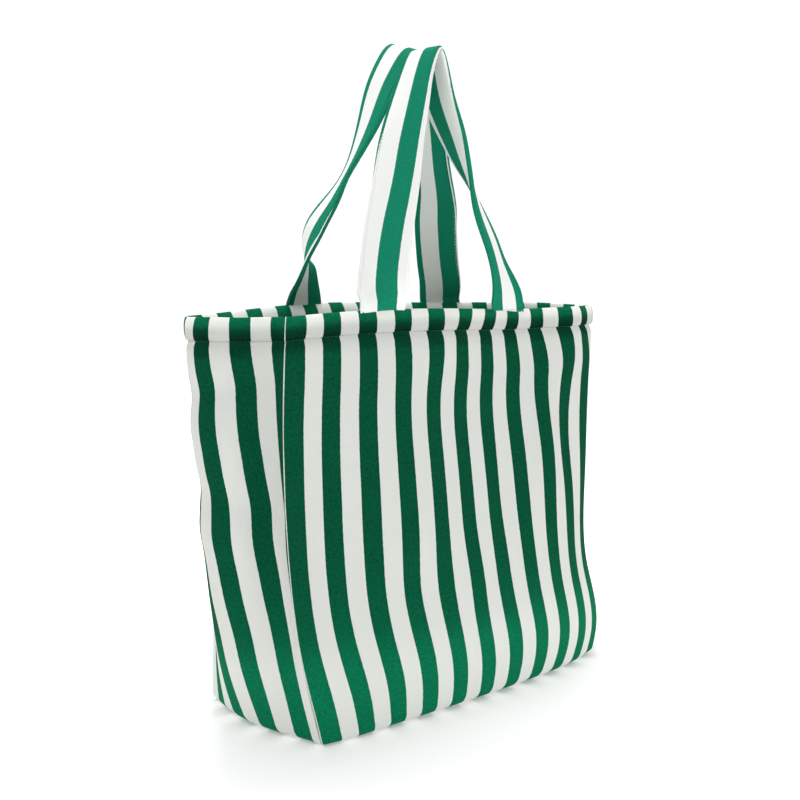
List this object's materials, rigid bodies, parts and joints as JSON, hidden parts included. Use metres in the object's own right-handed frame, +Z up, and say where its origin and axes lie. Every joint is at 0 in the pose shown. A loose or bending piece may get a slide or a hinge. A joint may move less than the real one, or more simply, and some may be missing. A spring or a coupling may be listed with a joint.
{
  "type": "tote bag",
  "caption": "Soft boxed tote bag in green and white striped canvas, with a padded hem round the open mouth and two tall carrying handles that swing on the hem.",
  "frame": {"origin": "middle of the base, on the surface that the bag stands on", "axes": "+Z up from the base to the handles, +X along the bag's width to its right, +Y from the front panel to the back panel"},
  "size_m": [0.5498, 0.2504, 0.75],
  "materials": {
    "body_canvas": "matte thick woven cotton with printed green and off-white stripes",
    "base_canvas": "matte thick woven cotton, same striped cloth as the body",
    "hem_canvas": "matte, soft folded edge of the striped cloth",
    "handle_canvas": "matte, folded band of the striped cloth, stripes lengthwise",
    "seam_canvas": "matte, folded raw edges",
    "stitch_thread": "matte spun thread"
  },
  "bodies": {
    "bag": {"front_panel": "body_canvas", "back_panel": "body_canvas", "left_gusset": "body_canvas", "right_gusset": "body_canvas", "base_panel": "base_canvas", "front_hem": "hem_canvas", "back_hem": "hem_canvas", "left_hem": "hem_canvas", "right_hem": "hem_canvas", "hem_topstitch": "stitch_thread", "front_left_seam": "seam_canvas", "front_right_seam": "seam_canvas", "back_left_seam": "seam_canvas", "back_right_seam": "seam_canvas", "base_seam": "seam_canvas", "front_handle_left_end": "handle_canvas", "front_handle_right_end": "handle_canvas", "back_handle_left_end": "handle_canvas", "back_handle_right_end": "handle_canvas"},
    "front_handle": {"front_handle": "handle_canvas"},
    "back_handle": {"back_handle": "handle_canvas"}
  },
  "joints": [
    {"name": "front_handle_swing", "type": "hinge", "parent": "bag", "child": "front_handle", "pos_m": [0, -0.0773, 0.4455], "axis": [1, 0, 0], "range_deg": [0, 170]},
    {"name": "back_handle_swing", "type": "hinge", "parent": "bag", "child": "back_handle", "pos_m": [0, 0.0773, 0.4455], "axis": [-1, 0, 0], "range_deg": [0, 170]}
  ]
}
